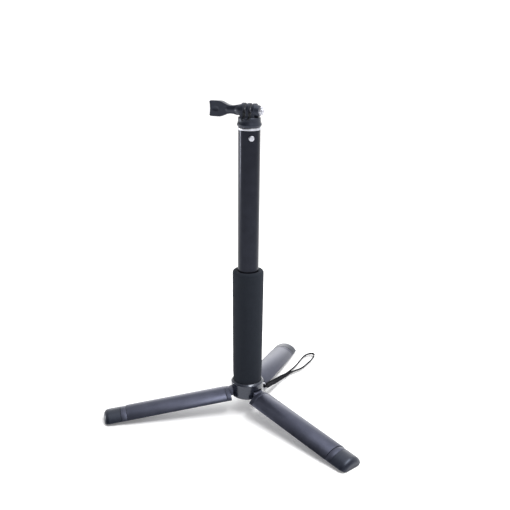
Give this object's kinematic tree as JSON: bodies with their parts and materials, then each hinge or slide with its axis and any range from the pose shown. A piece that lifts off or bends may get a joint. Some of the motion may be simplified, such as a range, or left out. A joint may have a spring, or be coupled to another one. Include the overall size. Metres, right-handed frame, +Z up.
{
  "type": "selfie stick",
  "caption": "Telescopic pole with a foam grip, fold-out tripod legs, wrist strap and a pronged camera fork clamped by a paddle thumb screw.",
  "frame": {"origin": "the floor point under the pole's axis, with the legs open and standing", "axes": "+Z up the pole; +X to the right and +Y away when the lock button faces the viewer"},
  "size_m": [0.2861, 0.2961, 0.3559],
  "materials": {
    "anodised": "dark anodised, satin",
    "leg_metal": "blue-grey anodised, fine grain",
    "steel": "plated, bright",
    "brass": "turned",
    "plastic": "fine moulded texture",
    "hub_plastic": "satin moulding",
    "foam": "closed-cell foam, matte",
    "rubber": "moulded rubber",
    "acetal": "acetal",
    "webbing": "woven nylon"
  },
  "bodies": {
    "tripod_hub": {"hub_body": "hub_plastic", "hub_cover": "hub_plastic", "cover_screw_1": "steel", "cover_screw_2": "steel", "cover_screw_3": "steel", "hinge_pin_1": "steel", "hinge_pin_2": "steel", "hinge_pin_3": "steel", "tripod_screw": "steel", "strap_lug": "steel", "wrist_strap": "webbing"},
    "leg_1": {"leg_1_knuckle": "hub_plastic", "leg_1_tube": "leg_metal", "leg_1_end_fitting": "plastic", "leg_1_foot_cap": "rubber", "leg_1_sole": "rubber"},
    "leg_2": {"leg_2_knuckle": "hub_plastic", "leg_2_tube": "leg_metal", "leg_2_end_fitting": "plastic", "leg_2_foot_cap": "rubber", "leg_2_sole": "rubber"},
    "leg_3": {"leg_3_knuckle": "hub_plastic", "leg_3_tube": "leg_metal", "leg_3_end_fitting": "plastic", "leg_3_foot_cap": "rubber", "leg_3_sole": "rubber"},
    "pole": {"outer_tube": "anodised", "trim_ring": "steel", "outer_tube_guide": "acetal", "foam_grip": "foam", "pole_plug": "plastic", "pole_insert": "brass"},
    "button": {"lock_button": "steel"},
    "section_2": {"section_2_tube": "anodised", "section_2_slider": "acetal", "section_2_guide": "acetal"},
    "section_3": {"section_3_tube": "anodised", "section_3_slider": "acetal", "section_3_guide": "acetal"},
    "section_4": {"section_4_tube": "anodised", "section_4_slider": "acetal", "head_stud": "steel"},
    "head": {"head_fork": "plastic", "head_nut": "steel"},
    "thumb_screw": {"thumb_knob": "plastic", "thumb_bolt": "steel"}
  },
  "joints": [
    {"name": "leg_1_fold", "type": "hinge", "parent": "tripod_hub", "child": "leg_1", "pos_m": [-0.01437, -0.00285, 0.02605], "axis": [0.1942, -0.981, 0], "range_deg": [0, 83.2]},
    {"name": "leg_2_fold", "type": "hinge", "parent": "tripod_hub", "child": "leg_2", "pos_m": [0.00965, -0.01102, 0.02605], "axis": [0.7524, 0.6587, 0], "range_deg": [0, 83.2]},
    {"name": "leg_3_fold", "type": "hinge", "parent": "tripod_hub", "child": "leg_3", "pos_m": [0.00472, 0.01387, 0.02605], "axis": [-0.9466, 0.3223, 0], "range_deg": [0, 83.2]},
    {"name": "pole_turn", "type": "hinge", "parent": "tripod_hub", "child": "pole", "pos_m": [0, 0, 0.0347], "axis": [0, 0, 1], "continuous": true},
    {"name": "button_press", "type": "slide", "parent": "pole", "child": "button", "axis": [-0.2079, 0.9781, 0], "range_m": [0, 0.001], "stiffness_N_per_m": 1500, "springref_m": -0.001},
    {"name": "section_2_slide", "type": "slide", "parent": "pole", "child": "section_2", "axis": [0, 0, 1], "range_m": [0, 0.241]},
    {"name": "section_3_slide", "type": "slide", "parent": "section_2", "child": "section_3", "axis": [0, 0, 1], "range_m": [0, 0.237]},
    {"name": "section_4_slide", "type": "slide", "parent": "section_3", "child": "section_4", "axis": [0, 0, 1], "range_m": [0, 0.233]},
    {"name": "head_turn", "type": "hinge", "parent": "section_4", "child": "head", "pos_m": [0, 0, 0.3313], "axis": [0, 0, 1], "continuous": true},
    {"name": "thumb_screw_turn", "type": "hinge", "parent": "head", "child": "thumb_screw", "pos_m": [0, 0, 0.3479], "axis": [0.9135, -0.4067, 0], "continuous": true}
  ]
}
